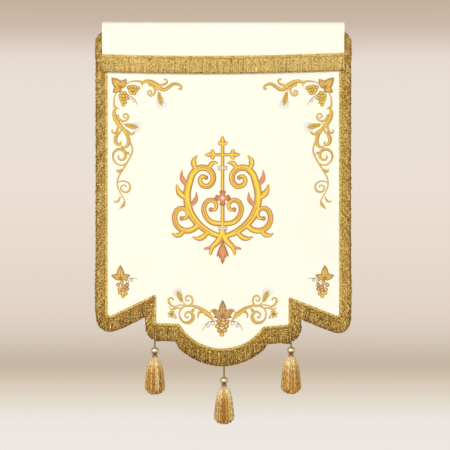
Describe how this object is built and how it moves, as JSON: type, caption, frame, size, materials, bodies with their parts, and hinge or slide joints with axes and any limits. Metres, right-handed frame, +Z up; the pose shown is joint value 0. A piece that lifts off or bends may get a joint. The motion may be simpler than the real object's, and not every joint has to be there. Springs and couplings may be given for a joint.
{
  "type": "church banner",
  "caption": "Hanging cream church banner with a pole sleeve, a stepped and rounded foot, bullion fringe and tassels.",
  "frame": {"origin": "middle of the top edge of the pole sleeve, where the pole inside it holds the banner up", "axes": "+Z up along the hanging cloth, +X across it to the right as seen from the front, the embroidered face towards -Y"},
  "size_m": [0.8432, 0.0643, 1.3323],
  "materials": {
    "cream_cloth": "smooth close-woven cloth, slight sheen",
    "bullion_fringe": "twisted gold thread, soft metallic glint",
    "cord_gold": "twisted gold cord",
    "tassel_silk": "glossy gold thread"
  },
  "bodies": {
    "root": {"panel": "cream_cloth", "pole_sleeve": "cream_cloth", "fringe_flap": "bullion_fringe", "fringe_left_side": "bullion_fringe", "fringe_left_point": "bullion_fringe", "fringe_left_step": "bullion_fringe", "fringe_scallop": "bullion_fringe", "fringe_right_step": "bullion_fringe", "fringe_right_point": "bullion_fringe", "fringe_right_side": "bullion_fringe", "tassel_left_cord": "cord_gold", "tassel_left_bead": "tassel_silk", "tassel_left_skirt": "tassel_silk", "tassel_middle_cord": "cord_gold", "tassel_middle_bead": "tassel_silk", "tassel_middle_skirt": "tassel_silk", "tassel_right_cord": "cord_gold", "tassel_right_bead": "tassel_silk", "tassel_right_skirt": "tassel_silk"}
  },
  "joints": []
}
